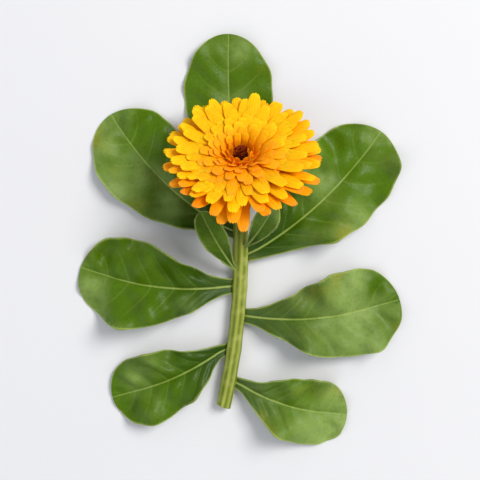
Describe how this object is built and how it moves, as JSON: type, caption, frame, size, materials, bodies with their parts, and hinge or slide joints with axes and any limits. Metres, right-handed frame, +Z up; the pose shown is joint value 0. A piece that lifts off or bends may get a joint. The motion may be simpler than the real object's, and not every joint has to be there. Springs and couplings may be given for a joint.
{
  "type": "marigold flower",
  "caption": "Picked pot marigold with a double orange bloom and dark eye on a curved, leafy cut stem, lying down with its face turned up.",
  "frame": {"origin": "middle of the bounding box in plan, on the surface that the flower lies on", "axes": "+Z up from the surface, +Y along the stem from its cut end towards the bloom, +X to the right of the stem seen from above"},
  "size_m": [0.112, 0.1416, 0.0423],
  "materials": {
    "petals": "matte orange-yellow petals with a soft sheen",
    "eye": "matte dark maroon",
    "leaf": "soft satin green with a pale bloom",
    "stem": "satin yellow-green with fine hairs"
  },
  "bodies": {
    "root": {"ray_florets": "petals", "disc_florets": "eye", "involucre": "stem", "stem": "stem", "leaf_under_bloom": "leaf", "leaf_upper_left": "leaf", "leaf_upper_right": "leaf", "leaf_middle_left": "leaf", "leaf_middle_right": "leaf", "leaf_lower_left": "leaf", "leaf_lower_right": "leaf", "leaf_neck_left": "leaf", "leaf_neck_right": "leaf"}
  },
  "joints": []
}
